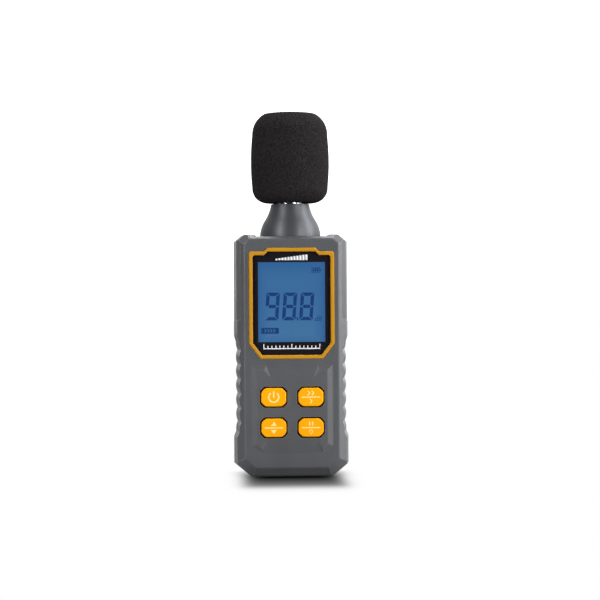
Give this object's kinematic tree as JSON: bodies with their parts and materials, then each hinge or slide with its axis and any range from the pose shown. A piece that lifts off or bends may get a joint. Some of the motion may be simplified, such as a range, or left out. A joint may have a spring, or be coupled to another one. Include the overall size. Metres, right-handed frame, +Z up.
{
  "type": "sound level meter",
  "caption": "Hand-held sound level meter: bevelled case with scalloped grips, framed display, push buttons, battery door, neck with half-inch microphone and foam windscreen.",
  "frame": {"origin": "centre of the flat base, on the plane where the two case halves part", "axes": "+Z up along the microphone axis, -Y out of the display face, +X to the reader's right"},
  "size_m": [0.0584, 0.0396, 0.1838],
  "materials": {
    "case_plastic": "matte, fine moulded texture",
    "accent_plastic": "satin",
    "window_plastic": "polished",
    "lcd_glass": "polished",
    "light_guide": "polished",
    "white_plastic": "matte",
    "zebra_rubber": "matte",
    "board_laminate": "solder mask",
    "chip_epoxy": "matte",
    "can_aluminium": "drawn",
    "switch_plastic": "matte",
    "plunger_plastic": "matte",
    "cell_wrap": "printed sleeve",
    "spring_steel": "nickel plated",
    "lead_insulation": "satin",
    "screw_steel": "zinc plated",
    "insert_brass": "turned",
    "neck_satin": "satin",
    "black_rubber": "matte",
    "tube_chrome": "polished",
    "grid_steel": "satin",
    "foam": "open-cell foam"
  },
  "bodies": {
    "meter": {"front_shell": "case_plastic", "rear_shell": "case_plastic", "display_bezel": "accent_plastic", "window_lens": "window_plastic", "lcd_glass": "lcd_glass", "backlight_panel": "light_guide", "backlight_leds": "light_guide", "lcd_frame": "white_plastic", "mic_connector": "white_plastic", "zebra_strip": "zebra_rubber", "main_board": "board_laminate", "microcontroller": "chip_epoxy", "amplifier_chips": "chip_epoxy", "filter_capacitors": "can_aluminium", "quartz_crystal": "can_aluminium", "mic_capsule": "can_aluminium", "switch_bodies": "switch_plastic", "battery_cells": "cell_wrap", "battery_springs": "spring_steel", "battery_contacts": "spring_steel", "battery_leads": "lead_insulation", "case_screws": "screw_steel", "board_screws": "screw_steel", "tripod_insert": "insert_brass", "mic_neck": "neck_satin", "neck_ring": "black_rubber", "mic_holder": "black_rubber", "mic_lead": "black_rubber", "mic_tube": "tube_chrome", "mic_grid": "grid_steel"},
    "power_key": {"power_button": "accent_plastic"},
    "speed_key": {"speed_button": "accent_plastic"},
    "peak_key": {"peak_button": "accent_plastic"},
    "hold_key": {"hold_button": "accent_plastic"},
    "power_switch": {"power_plunger": "plunger_plastic"},
    "speed_switch": {"speed_plunger": "plunger_plastic"},
    "peak_switch": {"peak_plunger": "plunger_plastic"},
    "hold_switch": {"hold_plunger": "plunger_plastic"},
    "door": {"battery_door": "case_plastic"},
    "screen": {"windscreen": "foam"}
  },
  "joints": [
    {"name": "power_press", "type": "slide", "parent": "meter", "child": "power_key", "axis": [0, 1, 0], "range_m": [0, 0.0003]},
    {"name": "power_switch_press", "type": "slide", "parent": "meter", "child": "power_switch", "axis": [0, 1, 0], "range_m": [0, 0.0003]},
    {"name": "speed_press", "type": "slide", "parent": "meter", "child": "speed_key", "axis": [0, 1, 0], "range_m": [0, 0.0003]},
    {"name": "speed_switch_press", "type": "slide", "parent": "meter", "child": "speed_switch", "axis": [0, 1, 0], "range_m": [0, 0.0003]},
    {"name": "peak_press", "type": "slide", "parent": "meter", "child": "peak_key", "axis": [0, 1, 0], "range_m": [0, 0.0003]},
    {"name": "peak_switch_press", "type": "slide", "parent": "meter", "child": "peak_switch", "axis": [0, 1, 0], "range_m": [0, 0.0003]},
    {"name": "hold_press", "type": "slide", "parent": "meter", "child": "hold_key", "axis": [0, 1, 0], "range_m": [0, 0.0003]},
    {"name": "hold_switch_press", "type": "slide", "parent": "meter", "child": "hold_switch", "axis": [0, 1, 0], "range_m": [0, 0.0003]},
    {"name": "door_hinge", "type": "hinge", "parent": "meter", "child": "door", "pos_m": [0, 0.0156, 0.0106], "axis": [-1, 0, 0], "range_deg": [0, 85]},
    {"name": "windscreen_pull", "type": "slide", "parent": "meter", "child": "screen", "axis": [0, 0, 1], "range_m": [0, 0.03]}
  ],
  "couplings": [
    {"joint": "power_switch_press", "follows": "power_press", "ratio": 1},
    {"joint": "speed_switch_press", "follows": "speed_press", "ratio": 1},
    {"joint": "peak_switch_press", "follows": "peak_press", "ratio": 1},
    {"joint": "hold_switch_press", "follows": "hold_press", "ratio": 1}
  ]
}
